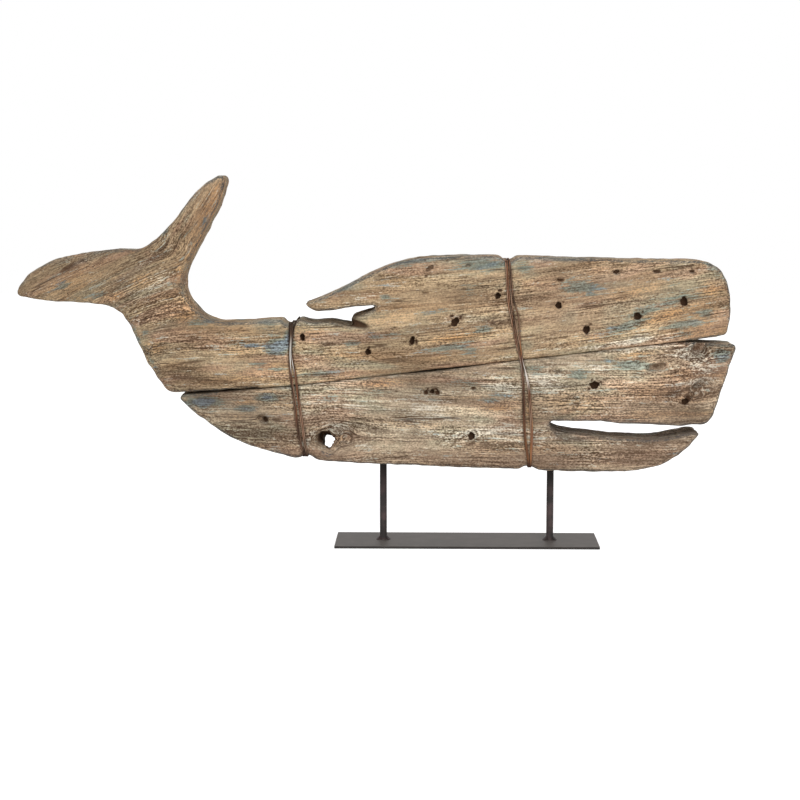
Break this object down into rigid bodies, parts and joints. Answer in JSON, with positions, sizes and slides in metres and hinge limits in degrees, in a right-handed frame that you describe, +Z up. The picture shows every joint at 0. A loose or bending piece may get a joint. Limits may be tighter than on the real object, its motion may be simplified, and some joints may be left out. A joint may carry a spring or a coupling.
{
  "type": "whale figurine",
  "caption": "Sperm whale sawn from two old boards, bound with iron wire, standing on two rods over a flat steel plate.",
  "frame": {"origin": "middle of the base plate's underside", "axes": "+Z up, +X towards the snout and -X towards the tail, +Y away from the viewer of the front face"},
  "size_m": [0.8065, 0.08, 0.4185],
  "materials": {
    "old_wood": "weathered, wire-brushed, with remnants of blue paint",
    "dowel_wood": "plain beech",
    "rusty_wire": "rusted",
    "dark_steel": "satin gunmetal"
  },
  "bodies": {
    "stand": {"base_plate": "dark_steel", "rear_post": "dark_steel", "front_post": "dark_steel", "rear_post_welds": "dark_steel", "front_post_welds": "dark_steel"},
    "whale": {"upper_plank": "old_wood", "lower_plank": "old_wood", "seam_dowel_rear": "dowel_wood", "seam_dowel_middle": "dowel_wood", "seam_dowel_front": "dowel_wood", "rear_binding_wire": "rusty_wire", "front_binding_wire": "rusty_wire"}
  },
  "joints": [
    {"name": "whale_lift", "type": "slide", "parent": "stand", "child": "whale", "axis": [0, 0, 1], "range_m": [0, 0.025]}
  ]
}
